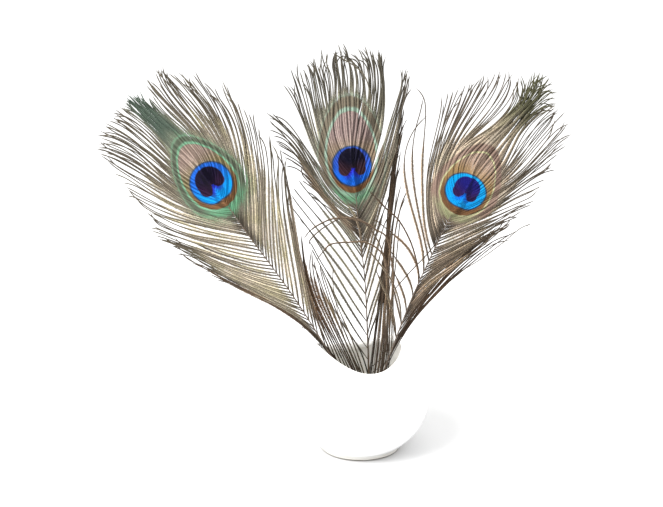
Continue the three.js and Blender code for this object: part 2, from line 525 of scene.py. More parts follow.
@dataclass(frozen=True)
class GlazeFinish:
    """White glaze, thin and warm on the lip's edge and inside, with painted shade darkening it towards the
    foot, over clay that is bare under the foot and darkened there as a painted contact shadow.

    Attributes:
        white, cool, warm, painted_foot_shade, clay_and_contact_shadow: the glaze, its clouds, its edges, the
        painted shade on the foot wall, and the bare clay, darkened as a painted contact shadow.
        painted_shade_top, painted_shade_foot: heights in mm between which the glaze is darkened towards the
            foot as painted shade.
        foot_edge: height in mm below which the clay is bare, and darkened as a painted contact shadow.
        clouds, peel, pits: how fine the clouds, the orange peel and the pits are, in each metre.
        relief: depth of the whole relief, in mm.
    """

    white: Colour = (0.93, 0.93, 0.92, 1.0)
    cool: Colour = (0.89, 0.90, 0.915, 1.0)
    warm: Colour = (0.93, 0.90, 0.84, 1.0)
    painted_foot_shade: Colour = srgb(206, 204, 198)
    clay_and_contact_shadow: Colour = srgb(112, 108, 98)
    painted_shade_top: float = 5.0
    painted_shade_foot: float = 1.5
    foot_edge: float = 0.9
    clouds: float = 38.0
    peel: float = 420.0
    pits: float = 1500.0
    relief: float = 0.4

    def material(self) -> bpy.types.Material:
        """The finish as a material."""
        g = Graph("white_glaze")
        _, _, z, at = g.object_place()
        cloud = g.noise(at, self.clouds, 3.0)
        peel = g.noise(at, self.peel, 2.0)
        pits = g.noise(at, self.pits, 1.0)
        # Bare clay under the foot, whose colour is darkened as a painted contact shadow where the foot meets
        # the ground; this mask also makes it rough and unglazed.
        bare = (z + (cloud - 0.5) * MM).rises(self.foot_edge * MM * 1.25, self.foot_edge * MM * 0.75)
        colour = g.mix(cloud.rises(0.35, 0.7) * 0.7, self.white, self.cool)
        colour = g.mix(g.attribute("rim") * 0.5, colour, self.warm)
        colour = g.mix(pits.rises(0.7, 0.76) * 0.25, colour, self.warm)
        # Painted shade: the glaze is darkened towards the foot, where the foot wall falls in shade.
        colour = g.mix(z.rises(self.painted_shade_top * MM, self.painted_shade_foot * MM), colour, self.painted_foot_shade)
        colour = g.mix(bare, colour, self.clay_and_contact_shadow)
        height = cloud * 0.6 + peel * 0.12 - pits.rises(0.7, 0.78) * 0.05
        return g.finish(
            Base_Color=colour,
            Roughness=0.16 + cloud * 0.08 + bare * 0.5,
            Coat_Weight=(1.0 - bare) * 0.5,
            Coat_Roughness=0.06,
            Normal=g.bump(height, 0.35, self.relief * MM),
        )


@dataclass(frozen=True)
class PaperFinish:
    """The plain pale ground, which the strong light just brings to white."""

    pale: Colour = (0.57, 0.57, 0.57, 1.0)

    def material(self) -> bpy.types.Material:
        """The finish as a material."""
        return Graph("ground").finish(Base_Color=self.pale, Roughness=0.9, Specular_IOR_Level=0.0)


# ------------------------------------------------------------------------------------------------- vase


def bare_object(name: str, mesh: bpy.types.Mesh, finish: bpy.types.Material) -> bpy.types.Object:
    """An object at the origin, with smooth faces and one material.

    Args:
        name: the piece's name.
        mesh: its mesh, in place.
        finish: its material.

    Returns:
        The object, in the scene.
    """
    mesh.materials.append(finish)
    mesh.polygons.foreach_set("use_smooth", [True] * len(mesh.polygons))
    made = bpy.data.objects.new(name, mesh)
    bpy.context.scene.collection.objects.link(made)
    return made


def smoothstep(x: np.ndarray | float, low: float, high: float) -> np.ndarray | float:
    """0 below low, 1 above high, and smooth between."""
    share = np.clip((x - low) / (high - low), 0.0, 1.0)
    return share * share * (3.0 - 2.0 * share)


@dataclass
class Vase:
    """The round vase with a thick, wavy lip. Lengths are in mm and angles in degrees.

    Attributes:
        foot_radius: outside of the foot.
        foot_section: the foot from its recess to the body, as (radius past foot_radius, height).
        widest_height: where the body is widest.
        body_radius, body_half_height: the ellipse of the outside.
        body_start: height at which it leaves the foot.
        cavity_radius, cavity_half_height: the ellipse of the inside.
        shoulder: angle up both ellipses at which the lip begins.
        floor_height: top of the floor.
        floor_turn: angle by which the cavity ends above the floor.
        floor_edge: how it rounds into the floor, as (radius past its end, height above the floor).
        lip_radius, lip_height, lip_thickness: the lip's middle, and its thickness.
        lip_outside, lip_inside: angles round the lip between which it is round.
        wave_height, wave_turn: the lip's two waves, and the direction of one rise.
        wave_uneven: how uneven the waves are, as a share of their height.
        wave_start: height above which they fade in.
        sides: faces round the vase.
    """

    foot_radius: float = 25.0
    foot_section: tuple[Point, ...] = (
        (-4.0, 0.5), (-3.2, 0.0), (-0.9, 0.0), (-0.25, 0.3), (0.0, 0.9), (0.0, 1.9), (0.35, 2.7),
    )
    widest_height: float = 35.0
    body_radius: float = 43.0
    body_half_height: float = 40.0
    body_start: float = 3.4
    cavity_radius: float = 38.0
    cavity_half_height: float = 33.7
    shoulder: float = 46.0
    floor_height: float = 5.0
    floor_turn: float = 3.0
    floor_edge: tuple[Point, ...] = ((-2.4, 0.35), (-5.0, 0.0))
    lip_radius: float = 28.0
    lip_height: float = 61.6
    lip_thickness: float = 5.6
    lip_outside: float = 53.0
    lip_inside: float = 222.0
    wave_height: float = 5.5
    wave_turn: float = 18.0
    wave_uneven: float = 0.06
    wave_start: float = 38.0
    sides: int = 144

    def arc(self, radius: float, half_height: float, start: float, end: float, steps: int) -> list[Point]:
        """Points on an ellipse about the widest height, as (radius, height), between two angles."""
        turns = np.radians(np.linspace(start, end, steps))
        return [(radius * math.cos(a), self.widest_height + half_height * math.sin(a)) for a in turns]

    def profile(self) -> list[Point]:
        """The section, from the middle of the foot, round the body and lip, to the middle of the floor."""
        low = math.degrees(math.asin((self.body_start - self.widest_height) / self.body_half_height))
        deep = math.degrees(math.asin((self.floor_height - self.widest_height) / self.cavity_half_height))
        half = self.lip_thickness / 2
        lip = [
            (self.lip_radius + half * math.cos(a), self.lip_height + half * math.sin(a))
            for a in np.radians(np.linspace(self.lip_outside, self.lip_inside, 17))
        ]
        foot = [(self.foot_radius + out, up) for out, up in self.foot_section]
        outside = self.arc(self.body_radius, self.body_half_height, low, self.shoulder, 40)
        end = deep + self.floor_turn
        inside = self.arc(self.cavity_radius, self.cavity_half_height, self.shoulder, end, 32)
        floor = [(inside[-1][0] + out, self.floor_height + up) for out, up in self.floor_edge]
        return [(0.0, foot[0][1]), *foot, *outside, *lip, *inside, *floor, (0.0, self.floor_height)]

    def build(self) -> bpy.types.Object:
        """Spins the section, waves the lip and glazes the vase."""
        shape = bmesh.new()
        dots = [shape.verts.new((r * MM, 0.0, z * MM)) for r, z in self.profile()]
        edges = [shape.edges.new(pair) for pair in zip(dots, dots[1:])]
        bmesh.ops.spin(
            shape,
            geom=[*dots, *edges],
            cent=(0, 0, 0),
            axis=(0, 0, 1),
            angle=math.tau,
            steps=self.sides,
            use_merge=True,
        )
        bmesh.ops.remove_doubles(shape, verts=shape.verts, dist=0.00001)
        rim = shape.verts.layers.float.new("rim")
        top = self.lip_height + self.lip_thickness / 2
        for dot in shape.verts:
            turn = math.atan2(dot.co.y, dot.co.x)
            share = smoothstep(dot.co.z / MM, self.wave_start, self.lip_height)
            dot[rim] = float(smoothstep(dot.co.z / MM, self.lip_height, top))
            wave = math.cos(2.0 * (turn - math.radians(self.wave_turn)))
            wave += self.wave_uneven * math.cos(3.0 * turn + 1.0)
            dot.co.z += float(share) * self.wave_height * MM * wave
        bmesh.ops.recalc_face_normals(shape, faces=shape.faces)
        shape.normal_update()
        for dot in shape.verts:
            if dot.normal.x * dot.co.x + dot.normal.y * dot.co.y < 0.0:
                dot[rim] = 1.0
        mesh = bpy.data.meshes.new("vase_glazed")
        shape.to_mesh(mesh)
        shape.free()
        vase = bare_object("vase_glazed", mesh, GlazeFinish().material())
        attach(vase, BODY)
        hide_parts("vase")
        return vase


# --------------------------------------------------------------------------------------------- feathers


class Side(Enum):
    """A side of the shaft, as seen from the front."""

    LEFT = -1
    RIGHT = 1


@dataclass(frozen=True)
class Barb:
    """One barb, given as a curve. The barbs up to the next one in a fan are made between the two.

    Attributes:
        root: height on the shaft where it grows.
        first: (x, z) about a third of the way along it.
        second: (x, z) about two thirds of the way.
        tip: (x, z) of its tip.
        more: how many barbs follow it before the next one.
        ruffle: how far the barbs stray from each other, as a share of the usual.
        brown: how brown it is, 0 to 1.
        green: how much of the dark green of a top tuft it has, 0 to 1.
        curl: how far its last stretch turns, in degrees, clockwise if positive.
    """

    root: float
    first: Point
    second: Point
    tip: Point
    more: int = 1
    ruffle: float = 1.0
    brown: float = 0.0
    green: float = 0.0
    curl: float = 0.0

    def numbers(self) -> np.ndarray:
        """What is blended between two barbs of a fan."""
        route = (*self.first, *self.second, *self.tip)
        return np.array([self.root, *route, self.ruffle, self.brown, self.green, self.curl])


@dataclass(frozen=True)
class Stray:
    """A barb that wanders off, along given points.

    Attributes:
        route: (x, z) points from root to tip.
        fore: how far it stands in front of its feather at its tip, in mm.
        width: full width, in mm.
        brown: how brown it is, 0 to 1.
        thins: share of its length from which it thins out.
    """

    route: tuple[Point, ...]
    fore: float = 0.0
    width: float = 0.8
    brown: float = 0.2
    thins: float = 0.9


Fan = tuple[Barb, ...]


@dataclass(frozen=True)
class Ribbon:
    """How one barb becomes a closed, saw-toothed ribbon. Lengths are in mm.

    Attributes:
        pitch: from one ring of points to the next.
        ridge: height of the middle ridge.
        tooth: how much wider or narrower than the mean a ring is, as a share.
        lean: how far each tooth leans towards the tip.
        loose: greatest full width of a free barb with its barbules.
        vane: full width in the eye, where the barbs overlap.
        bare: full width of the bare tip.
        thins: share of its length from which a free barb thins out to its bare tip.
        stem: greatest full width where a barb leaves the shaft.
        widens: distances from its root between which it widens from its stem.
        low: heights between which barbs grow from half to their full width.
        least: least full width.
        end: share of its length from which it comes to a point.
        uneven: least and greatest height of its teeth, as shares of the usual.
    """

    pitch: float = 0.38
    ridge: float = 0.18
    tooth: float = 0.45
    lean: float = 0.35
    loose: float = 1.7
    vane: float = 1.8
    bare: float = 0.7
    thins: float = 0.56
    stem: float = 0.95
    widens: tuple[float, float] = (1.0, 10.0)
    low: tuple[float, float] = (62.0, 100.0)
    least: float = 0.38
    end: float = 0.96
    uneven: tuple[float, float] = (0.3, 1.4)


@dataclass(frozen=True)
class Scatter:
    """How far chance goes in a fan of barbs. Lengths are in mm and angles in degrees.

    Attributes:
        parts: chance that a barb begins a new tuft.
        pull: least and greatest share by which a tuft's tips are drawn together.
        root: how far a root is from its place.
        second, tip: usual stray of the route's second point and of its tip.
        short: greatest share by which a barb is cut short.
        ripples: least and greatest angle that a barb's waves run through, in radians.
        wave: greatest turn of a wave.
        curl: usual turn of the last stretch.
        tail: share of its length from which a barb curls.
        layer: how far a barb lies over or under the next.
        drift: usual distance of a tip from the sheet.
        width: least and greatest width, as shares of the usual.
        stray_tone: least and greatest tone of a stray barb.
    """

    parts: float = 0.42
    pull: tuple[float, float] = (-0.1, 0.45)
    root: float = 0.12
    second: float = 0.3
    tip: float = 0.6
    short: float = 0.4
    ripples: tuple[float, float] = (6.0, 15.0)
    wave: float = 5.0
    curl: float = 14.0
    tail: float = 0.86
    layer: float = 0.25
    drift: float = 1.6
    width: tuple[float, float] = (0.85, 1.15)
    stray_tone: tuple[float, float] = (0.2, 0.6)


@dataclass(frozen=True)
class Mouth:
    """The hollow of the vase, which the low barbs stay inside. Lengths are in mm.

    Attributes:
        radius: radius of the room for barbs in the mouth.
        below: how much more room there is below it.
        neck: heights between which the room narrows.
        top: height above which barbs may lie further and further back.
        beside: how far back a barb may be that is out beside the mouth.
    """

    radius: float = 24.0
    below: float = 8.0
    neck: tuple[float, float] = (49.0, 57.0)
    top: float = 66.0
    beside: float = 99.0

    def back(self, x: np.ndarray, z: np.ndarray) -> np.ndarray:
        """How far back a barb may be at (x, z), in mm."""
        wall = self.radius + self.below * smoothstep(z, self.neck[1], self.neck[0])
        inside = np.sqrt(np.maximum(wall**2 - x**2, 0.0))
        return inside + np.maximum(z - self.top, 0.0) + self.beside * (np.abs(x) > wall)


@dataclass
class Strands:
    """Arrays of many ribbons, gathered for one mesh, with one array of each list for each ribbon.

    Attributes:
        points: places in space, in mm.
        faces: the four points of each face.
        flat: places across and along the feather, in mm.
        facts: share of the length, distance from the middle in mm, tone, brown and green of each point.
        count: how many points there are in all.
    """

    points: list[np.ndarray] = field(default_factory=list)
    faces: list[np.ndarray] = field(default_factory=list)
    flat: list[np.ndarray] = field(default_factory=list)
    facts: list[np.ndarray] = field(default_factory=list)
    count: int = 0


@dataclass
class Feather:
    """One peacock feather: its sheet in space, its shaft, and the fans of barbs on both sides.

    The sheet is y = depth + fan * x + lean * z, and it bows back above bow_start. Lengths are in mm.

    Attributes:
        name: what its pieces' names begin with.
        depth, fan, lean: the sheet.
        line: (x, z) points up the shaft and on to the top of the feather.
        shaft_points: how many of them are on the shaft.
        eye, tilt: (x, z) of the eye's centre, and the lean of its axis to the right, in degrees.
        left, right: the fans of barbs on each side, from the lowest up.
        strays: barbs that wander off.
        finish: colours and shape of its eye.
        seed: seed of its random numbers.
        bow_start, bow: where the sheet begins to bow, and mm back for each square mm of height above it.
        cup: mm that a barb falls back for each mm out from its root.
        foot_radius, tip_radius, taper: the shaft's ends, and the power by which it tapers between them.
        groove: radius in the groove down the shaft's back, as a share of the shaft's.
        shaft_steps, shaft_sides: rings along the shaft, and points in each.
        ribbon, scatter, mouth: what every barb is made by.
    """

    name: str
    depth: float
    fan: float
    lean: float
    line: tuple[Point, ...]
    shaft_points: int
    eye: Point
    tilt: float
    left: tuple[Fan, ...]
    right: tuple[Fan, ...]
    strays: tuple[Stray, ...]
    finish: EyeFinish
    seed: int
    bow_start: float = 60.0
    bow: float = 0.00022
    cup: float = 0.07
    foot_radius: float = 1.25
    tip_radius: float = 0.32
    taper: int = 4
    groove: float = 0.62
    shaft_steps: int = 90
    shaft_sides: int = 12
    ribbon: Ribbon = Ribbon()
    scatter: Scatter = Scatter()
    mouth: Mouth = Mouth()

    # -- places

    def depth_at(self, x: np.ndarray, z: np.ndarray) -> np.ndarray:
        """How far back the sheet is at (x, z), in mm."""
        above = np.maximum(z - self.bow_start, 0.0)
        return self.depth + self.fan * x + self.lean * z + self.bow * above * above

    def line_curve(self, count: int) -> np.ndarray:
        """Points along the shaft and on to the top of the feather, evenly shared between the given ones."""
        return smooth_route(self.line, count)

    def shaft_at(self, height: float) -> np.ndarray:
        """(x, z) on the shaft's line at a height."""
        route = self.line_curve(400)
        return np.array([np.interp(height, route[:, 1], route[:, 0]), height])

    def front(self) -> np.ndarray:
        """Unit vector out of the front of the sheet."""
        normal = np.array([self.fan, -1.0, self.lean])
        return normal / np.linalg.norm(normal)

    def flat_place(self, x: np.ndarray, z: np.ndarray) -> np.ndarray:
        """(x, z) as millimetres right of and above the eye's centre, along the eye's own axis."""
        turn = math.radians(self.tilt)
        dx, dz = x - self.eye[0], z - self.eye[1]
        across = dx * math.cos(turn) - dz * math.sin(turn)
        return np.stack([across, dx * math.sin(turn) + dz * math.cos(turn)], axis=1)

    # -- shaft

    def build_shaft(self, finish: bpy.types.Material) -> bpy.types.Object:
        """Extrudes the shaft from its cut foot to its tip in the eye, with a groove down its back.

        Args:
            finish: the quill's material.

        Returns:
            The shaft's object.
        """
        steps, sides = self.shaft_steps, self.shaft_sides
        share = (self.shaft_points - 1) / (len(self.line) - 1)
        route = self.line_curve(int(steps / share))[: steps + 1]
        centre = np.stack([route[:, 0], self.depth_at(route[:, 0], route[:, 1]), route[:, 1]], axis=1)
        along = np.gradient(centre, axis=0)
        along /= np.linalg.norm(along, axis=1)[:, None]
        shape = bmesh.new()
        up = shape.verts.layers.float.new("up")
        ring = bmesh.ops.create_circle(shape, cap_ends=False, segments=sides, radius=1.0)["verts"]
        unit = [dot.co.copy() for dot in ring]
        edges = list(shape.edges)
        previous: list[bmesh.types.BMVert] = ring
        for step in range(steps + 1):
            if step:
                grown = bmesh.ops.extrude_edge_only(shape, edges=edges)["geom"]
                edges = [e for e in grown if isinstance(e, bmesh.types.BMEdge) and e.is_boundary]
                spokes = [(edge, dot) for dot in previous for edge in dot.link_edges]
                previous = [edge.other_vert(dot) for edge, dot in spokes if edge.other_vert(dot) in grown]
            place, heading = Vector(centre[step]), Vector(along[step])
            across = heading.cross(Vector(self.front())).normalized()
            fore = across.cross(heading).normalized() * -1.0
            spread = (self.foot_radius - self.tip_radius) * (1.0 - step / steps) ** self.taper
            radius = self.tip_radius + spread
            for dot, around in zip(previous, unit):
                groove = self.groove if around.y < -0.9 else 1.0
                dot.co = (place + across * around.x * radius + fore * around.y * radius * groove * -1.0) * MM
                dot[up] = step / steps
        ends = [e for e in shape.edges if e.is_boundary]
        bmesh.ops.holes_fill(shape, edges=ends, sides=sides)
        bmesh.ops.recalc_face_normals(shape, faces=shape.faces)
        mesh = bpy.data.meshes.new(f"{self.name}_quill")
        shape.to_mesh(mesh)
        shape.free()
        shaft = bare_object(f"{self.name}_quill", mesh, finish)
        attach(shaft, BODY)
        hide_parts(f"{self.name}_shaft")
        return shaft

    # -- barbs

    def freedom(self, x: np.ndarray, z: np.ndarray) -> np.ndarray:
        """0 where the barbs lock into the eye's vane, and 1 where they hang free."""
        flat = self.flat_place(x, z)
        shape = self.finish.shape
        q = flat[:, 1]
        far = smoothstep(q, shape.low - 2.0, shape.high / 2) + 0.3 * smoothstep(q, shape.low, shape.low - 5.0)
        return smoothstep(shape.outside(flat) / (shape.frays + shape.frays_more * far), 0.1, 1.0)

    def blended(self, fan: Fan) -> np.ndarray:
        """Every barb of a fan, the chosen ones and those between them, as rows of Barb.numbers."""
        rows = []
        for first, second in zip(fan, fan[1:]):
            for share in np.arange(first.more + 1) / (first.more + 1):
                rows.append(first.numbers() * (1.0 - share) + second.numbers() * share)
        rows.append(fan[-1].numbers())
        return np.array(rows)

    def add_ribbon(
        self,
        strands: Strands,
        route: np.ndarray,
        lift: np.ndarray,
        stem: float,
        loose: float,
        thins: float,
        facts: Sequence[float],
        rng: np.random.Generator,
    ) -> None:
        """Adds one barb as a closed ribbon of three-sided rings, wide and narrow in turn.

        Args:
            strands: where it is gathered.
            route: (x, z) points from root to tip.
            lift: how far each point is behind the sheet, in mm.
            stem: full width where it leaves the shaft, in mm.
            loose: full width of its free part with its barbules, in mm.
            thins: share of its length from which it thins out to its bare tip.
            facts: tone, brown and green of the whole barb.
            rng: the feather's random numbers.
        """
        x, z = route[:, 0], route[:, 1]
        centre = np.stack([x, np.minimum(self.depth_at(x, z) + lift, self.mouth.back(x, z)), z], axis=1)
        step = np.gradient(centre, axis=0)
        along = step / np.linalg.norm(step, axis=1)[:, None]
        front = self.front()
        across = np.cross(along, front)
        across /= np.linalg.norm(across, axis=1)[:, None]
        fore = np.cross(across, along)
        fore *= np.sign(fore @ front)[:, None]
        count = len(route)
        share = np.linspace(0.0, 1.0, count)
        reach = share * np.linalg.norm(np.diff(centre, axis=0), axis=1).sum()
        form = self.ribbon
        free = self.freedom(x, z)
        body = stem + (loose - stem) * smoothstep(reach, *form.widens)
        body += (form.bare - body) * smoothstep(share, thins, 0.5 + thins * 0.5 - 0.04)
        body = np.maximum(body * (0.5 + 0.5 * smoothstep(z, *form.low)), form.least)
        full = body * free + form.vane * (1.0 - free)
        half = full / 2 * (1.0 - 0.7 * smoothstep(share, form.end, 1.0))
        wide = (np.arange(count) % 2) * 2.0 - 1.0
        teeth = form.tooth * (0.15 + 0.85 * free * smoothstep(full, 0.7, 1.3))
        edge_left = half * (1.0 + wide * teeth * rng.uniform(*form.uneven, count))
        edge_right = half * (1.0 + wide * teeth * rng.uniform(*form.uneven, count))
        swept = along * ((wide > 0) * form.lean * teeth / form.tooth)[:, None]
        ridge = np.minimum(form.ridge, half * 0.6) * (0.4 + 0.6 * free)
        rings = np.stack(
            [
                centre - across * edge_left[:, None] + swept,
                centre + fore * ridge[:, None],
                centre + across * edge_right[:, None] + swept,
            ],
            axis=1,
        )
        ring = strands.count + 3 * np.arange(count - 1)[:, None]
        left = ring + [0, 1, 4, 3]
        right = ring + [1, 2, 5, 4]
        back = ring + [2, 0, 3, 5]
        strands.points.append(rings.reshape(-1, 3))
        strands.faces.append(np.stack([left, right, back], axis=1))
        strands.flat.append(self.flat_place(rings[:, :, 0].ravel(), rings[:, :, 2].ravel()))
        facts_each = np.empty((count, 3, 5))
        facts_each[:, :, 0] = share[:, None]
        facts_each[:, :, 1] = np.stack([edge_left, np.zeros(count), edge_right], axis=1)
        facts_each[:, :, 2:] = facts
        strands.facts.append(facts_each.reshape(-1, 5))
        strands.count += 3 * count

    def barb_path(
        self, row: np.ndarray, mean: np.ndarray, drawn: float, rng: np.random.Generator
    ) -> np.ndarray:
        """The (x, z) points of one barb, with its waves and its curled tip.

        Args:
            row: the barb, as Barb.numbers.
            mean: the mean of its tuft, likewise.
            drawn: share by which its tip is drawn to the tuft's.
            rng: the feather's random numbers.

        Returns:
            Points from root to tip.
        """
        by = self.scatter
        root, ruffle, green, curl = row[0], row[7], row[9], row[10]
        drawn *= 1.0 - 0.8 * green
        start = self.shaft_at(root + rng.uniform(-by.root, by.root))
        second = row[3:5] + (mean[3:5] - row[3:5]) * drawn * 0.5 + rng.normal(0.0, by.second, 2) * ruffle
        tip = row[5:7] + (mean[5:7] - row[5:7]) * drawn + rng.normal(0.0, by.tip, 2) * ruffle
        short = rng.beta(1.0, 3.0) * by.short * min(ruffle, 1.0) * (1.0 - 0.6 * green)
        tip = second + (tip - second) * (1.04 - short)
        knots = np.array([start, row[1:3], second, tip])
        length = np.linalg.norm(np.diff(knots, axis=0), axis=1).sum()
        path = cubic_through(knots, int(length / self.ribbon.pitch))
        share = np.linspace(0.0, 1.0, len(path))
        wave = np.sin(share * rng.uniform(*by.ripples) + rng.uniform(0.0, 6.0))
        wave = wave * rng.uniform(0.0, by.wave) * ruffle
        curled = smoothstep(share, by.tail, 1.0) * (curl + rng.normal(0.0, by.curl) * ruffle)
        return turned(path, wave * smoothstep(share, 0.1, 0.5) + curled)

    def barb_lift(self, path: np.ndarray, ruffle: float, rng: np.random.Generator) -> np.ndarray:
        """How far behind the sheet each point of a barb is, in mm. Roots in the eye lie over the shaft.

        Args:
            path: the barb's (x, z) points.
            ruffle: its ruffle.
            rng: the feather's random numbers.

        Returns:
            A distance for each point.
        """
        by = self.scatter
        far = np.linalg.norm(path - path[0], axis=1)
        high = float(smoothstep(self.flat_place(path[:1, 0], path[:1, 1])[0, 1], -19.0, -16.0))
        over = high * (0.75 - 0.75 * smoothstep(far, 1.0, 7.0))
        free = self.freedom(path[:, 0], path[:, 1])
        share = np.linspace(0.0, 1.0, len(path))
        loose = rng.uniform(-by.layer, by.layer) * (0.2 + 0.8 * free)
        loose = loose + share**2 * rng.normal(0.0, by.drift) * (0.6 + ruffle)
        return self.cup * far + loose - over

    def add_fan(self, strands: Strands, fan: Fan, rng: np.random.Generator) -> None:
        """Adds all the barbs of a fan, gathered into tufts of a few at their tips."""
        form, by = self.ribbon, self.scatter
        rows = self.blended(fan)
        clump = np.cumsum(rng.random(len(rows)) < by.parts)
        means = np.array([rows[clump == group].mean(axis=0) for group in clump])
        pull = rng.uniform(*by.pull, len(rows) + 1)[clump]
        stems = np.clip(np.abs(np.gradient(rows[:, 0])) * 0.85, 0.5, form.stem)
        widths = np.clip(np.linalg.norm(np.gradient(rows[:, 3:5], axis=0), axis=1) * 0.84, 0.9, form.loose)
        widths *= 1.0 + 0.2 * rows[:, 9]
        for row, mean, drawn, stem, width in zip(rows, means, pull, stems, widths):
            ruffle, brown, green = row[7:10]
            path = self.barb_path(row, mean, drawn, rng)
            lift = self.barb_lift(path, ruffle, rng)
            width *= rng.uniform(*by.width)
            thins = form.thins + 0.28 * max(brown, green)
            self.add_ribbon(strands, path, lift, stem, width, thins, (rng.beta(2.0, 2.0), brown, green), rng)

    def add_stray(self, strands: Strands, stray: Stray, rng: np.random.Generator) -> None:
        """Adds a barb that wanders off."""
        length = np.linalg.norm(np.diff(np.array(stray.route), axis=0), axis=1).sum()
        path = smooth_route(stray.route, int(length / self.ribbon.pitch))
        lift = -stray.fore * np.linspace(0.0, 1.0, len(path))
        facts = (rng.uniform(*self.scatter.stray_tone), stray.brown, 0.0)
        self.add_ribbon(strands, path, lift, stray.width, stray.width, stray.thins, facts, rng)

    def build_barbs(self, side: Side, finish: bpy.types.Material) -> bpy.types.Object:
        """Makes the barbs on one side as one mesh.

        Args:
            side: which side of the shaft.
            finish: the barbs' material.

        Returns:
            The object.
        """
        rng = np.random.default_rng(self.seed + side.value)
        strands = Strands()
        for fan in self.left if side is Side.LEFT else self.right:
            self.add_fan(strands, fan, rng)
        if side is Side.LEFT:
            for stray in self.strays:
                self.add_stray(strands, stray, rng)
        word = side.name.lower()
        made = strands_mesh(f"{self.name}_{word}_fringe", strands, finish)
        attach(made, BODY)
        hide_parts(f"{self.name}_{word}_barbs")
        return made


def smooth_route(points: Iterable[Point], count: int) -> np.ndarray:
    """A smooth curve through points, with as many steps between each two of them.

    Args:
        points: (x, z) points, two or more.
        count: how many points are wanted.

    Returns:
        The curve's points, from the first to the last.
    """
    given = np.array(list(points), dtype=float)
    padded = np.vstack([2 * given[0] - given[1], given, 2 * given[-1] - given[-2]])
    at = np.linspace(0.0, len(given) - 1.0, count)
    start = np.minimum(at.astype(int), len(given) - 2)
    t = (at - start)[:, None]
    a, b, c, d = (padded[start + i] for i in range(4))
    return 0.5 * (2 * b + (c - a) * t + (2 * a - 5 * b + 4 * c - d) * t**2 + (3 * b - a - 3 * c + d) * t**3)


def cubic_through(knots: np.ndarray, count: int) -> np.ndarray:
    """The cubic through four (x, z) points, as count points."""
    reach = np.concatenate([[0.0], np.cumsum(np.linalg.norm(np.diff(knots, axis=0), axis=1))])
    weights = np.linalg.solve(np.vander(reach / reach[-1], 4), knots)
    return np.vander(np.linspace(0.0, 1.0, count), 4) @ weights


def turned(path: np.ndarray, degrees: np.ndarray) -> np.ndarray:
    """A path whose every step is turned clockwise by its own angle."""
    step = np.diff(path, axis=0)
    angle = np.radians(degrees[1:])
    across = step[:, 0] * np.cos(angle) + step[:, 1] * np.sin(angle)
    upward = step[:, 1] * np.cos(angle) - step[:, 0] * np.sin(angle)
    return np.vstack([path[:1], path[0] + np.cumsum(np.stack([across, upward], axis=1), axis=0)])


def strands_mesh(name: str, strands: Strands, finish: bpy.types.Material) -> bpy.types.Object:
    """One mesh of many ribbons, with flat places, facts, and a strip of the bake's map for each ribbon.

    Args:
        name: the piece's name.
        strands: the ribbons.
        finish: the barbs' material.

    Returns:
        The object.
    """
    points = np.concatenate(strands.points) * MM
    flat = np.concatenate(strands.flat)
    facts = np.concatenate(strands.facts)
    faces = np.concatenate([f.reshape(-1, 4) for f in strands.faces])
    caps = []
    first = 0
    for ribbon in strands.points:
        end = first + len(ribbon)
        caps += [(first, first + 2, first + 1), (end - 3, end - 2, end - 1)]
        first = end
    mesh = bpy.data.meshes.new(name)
    corners = np.concatenate([faces.ravel(), np.array(caps).ravel()]).astype(np.int32)
    starts = np.cumsum([0] + [4] * len(faces) + [3] * (len(caps) - 1)).astype(np.int32)
    mesh.vertices.add(len(points))
    mesh.vertices.foreach_set("co", points.ravel())
    mesh.loops.add(len(corners))
    mesh.loops.foreach_set("vertex_index", corners)
    mesh.polygons.add(len(starts))
    mesh.polygons.foreach_set("loop_start", starts)
    mesh.update(calc_edges=True)
    for index, fact in enumerate(("along", "across", "tone", "brown", "green")):
        layer = mesh.attributes.new(fact, "FLOAT", "POINT")
        layer.data.foreach_set("value", facts[:, index].copy())
    behind = np.tile([0.0, 0.0, 1.0], len(faces) // 3).repeat(4)
    under = mesh.attributes.new("under", "FLOAT", "CORNER")
    under.data.foreach_set("value", np.concatenate([behind, np.zeros(len(caps) * 3)]))
    place = mesh.uv_layers.new(name="Place")
    place.uv.foreach_set("vector", flat[corners].ravel())
    bake = mesh.uv_layers.new(name="OFBake")
    bake.uv.foreach_set("vector", strip_places(strands, facts, corners, behind).ravel())
    mesh.validate()
    return bare_object(name, mesh, finish)


def strip_places(strands: Strands, facts: np.ndarray, corners: np.ndarray, behind: np.ndarray) -> np.ndarray:
    """Places in the bake's map: each ribbon is a strip, its front above its back.

    Args:
        strands: the ribbons.
        facts: each point's facts, of which the first is its share of the ribbon's length.
        corners: the point at each corner of each face.
        behind: 1 for a corner of a back face.

    Returns:
        (u, v) for each corner.
    """
    total = len(strands.points)
    which = np.repeat(np.arange(total), [len(ribbon) for ribbon in strands.points])
    edge = np.arange(len(facts)) % 3
    front, back = np.array(STRIP_FRONT)[edge], np.array(STRIP_BACK)[edge]
    hidden = np.concatenate([behind, np.zeros(len(corners) - len(behind))]) > 0.5
    v = np.where(hidden, back[corners], front[corners])
    u = STRIP_MARGIN + (1.0 - 2.0 * STRIP_MARGIN) * facts[corners, 0]
    return np.stack([u, (which[corners] + v) / total], axis=1)


# ------------------------------------------------------------------------------------------- the feathers

